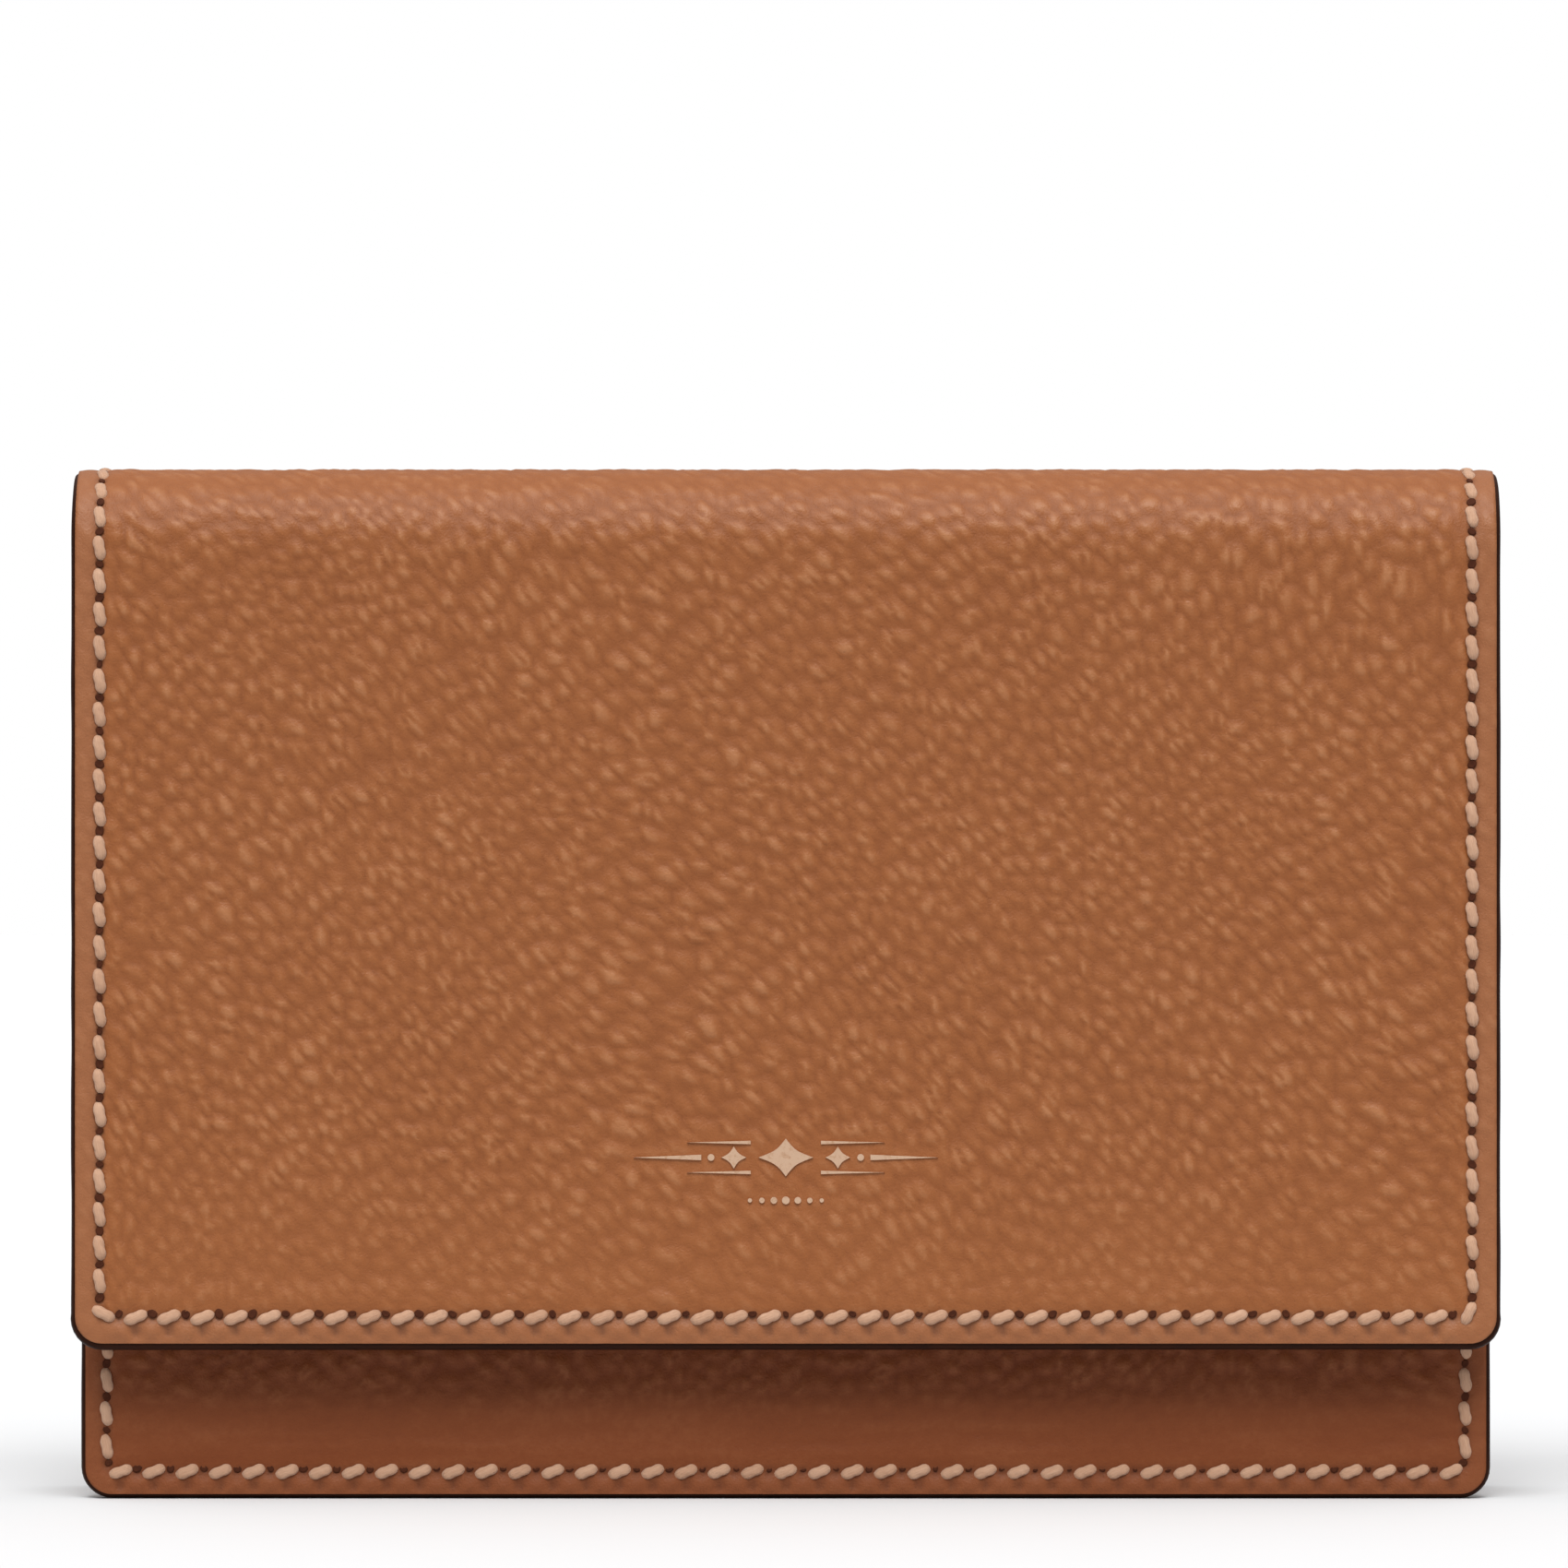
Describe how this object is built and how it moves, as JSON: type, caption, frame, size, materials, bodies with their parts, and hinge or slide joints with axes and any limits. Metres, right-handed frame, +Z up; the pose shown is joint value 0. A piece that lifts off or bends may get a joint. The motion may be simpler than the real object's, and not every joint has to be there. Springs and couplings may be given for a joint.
{
  "type": "card holder",
  "caption": "Upright leather card holder with a fold-over snap flap, stitched edges, a middle divider, pleated side gussets and card slots on its back wall.",
  "frame": {"origin": "middle of the bottom of the bounding box, on the surface the card holder stands on, with the flap closed", "axes": "+X across the width, to the right seen from the front; +Y out of the back, so the flap faces -Y; +Z up towards the spine"},
  "size_m": [0.11, 0.0208, 0.0797],
  "materials": {
    "cover_leather": "pebbled tan leather with a satin sheen and dark painted edges",
    "lining_leather": "smooth matte tan leather",
    "stiffener_board": "matte grey fibre board",
    "thread": "waxed cream thread",
    "snap_brass": "polished"
  },
  "bodies": {
    "back": {"back_panel": "cover_leather", "back_lining": "lining_leather", "card_slot_upper": "lining_leather", "card_slot_lower": "lining_leather", "gusset_left": "lining_leather", "gusset_right": "lining_leather", "gusset_bottom": "lining_leather", "back_thread": "thread"},
    "divider": {"divider": "lining_leather"},
    "front": {"front_panel": "cover_leather", "front_board": "stiffener_board", "front_lining": "lining_leather", "front_thread": "thread", "snap_stud": "snap_brass", "snap_stud_plate": "snap_brass"},
    "spine": {"spine_panel": "cover_leather", "spine_lining": "lining_leather", "spine_thread_left": "thread", "spine_thread_right": "thread"},
    "flap": {"flap_panel": "cover_leather", "flap_board": "stiffener_board", "flap_lining": "lining_leather", "flap_thread": "thread", "snap_cap": "snap_brass", "snap_socket": "snap_brass"}
  },
  "joints": [
    {"name": "spine_fold", "type": "hinge", "parent": "back", "child": "spine", "pos_m": [0, 0.00869, 0.07794], "axis": [-1, 0, 0], "range_deg": [0, 90]},
    {"name": "flap_fold", "type": "hinge", "parent": "spine", "child": "flap", "pos_m": [0, -0.00869, 0.07794], "axis": [-1, 0, 0], "range_deg": [0, 90]},
    {"name": "divider_open", "type": "hinge", "parent": "back", "child": "divider", "pos_m": [0, 0.00235, 0.0046], "axis": [1, 0, 0], "range_deg": [0, 3], "deforming": ["gusset_left", "gusset_right"]},
    {"name": "front_open", "type": "hinge", "parent": "back", "child": "front", "pos_m": [0, -0.00515, 0], "axis": [1, 0, 0], "range_deg": [0, 6]}
  ],
  "couplings": [
    {"joint": "divider_open", "follows": "flap_fold", "ratio": 0.0333},
    {"joint": "front_open", "follows": "flap_fold", "ratio": 0.0666}
  ]
}
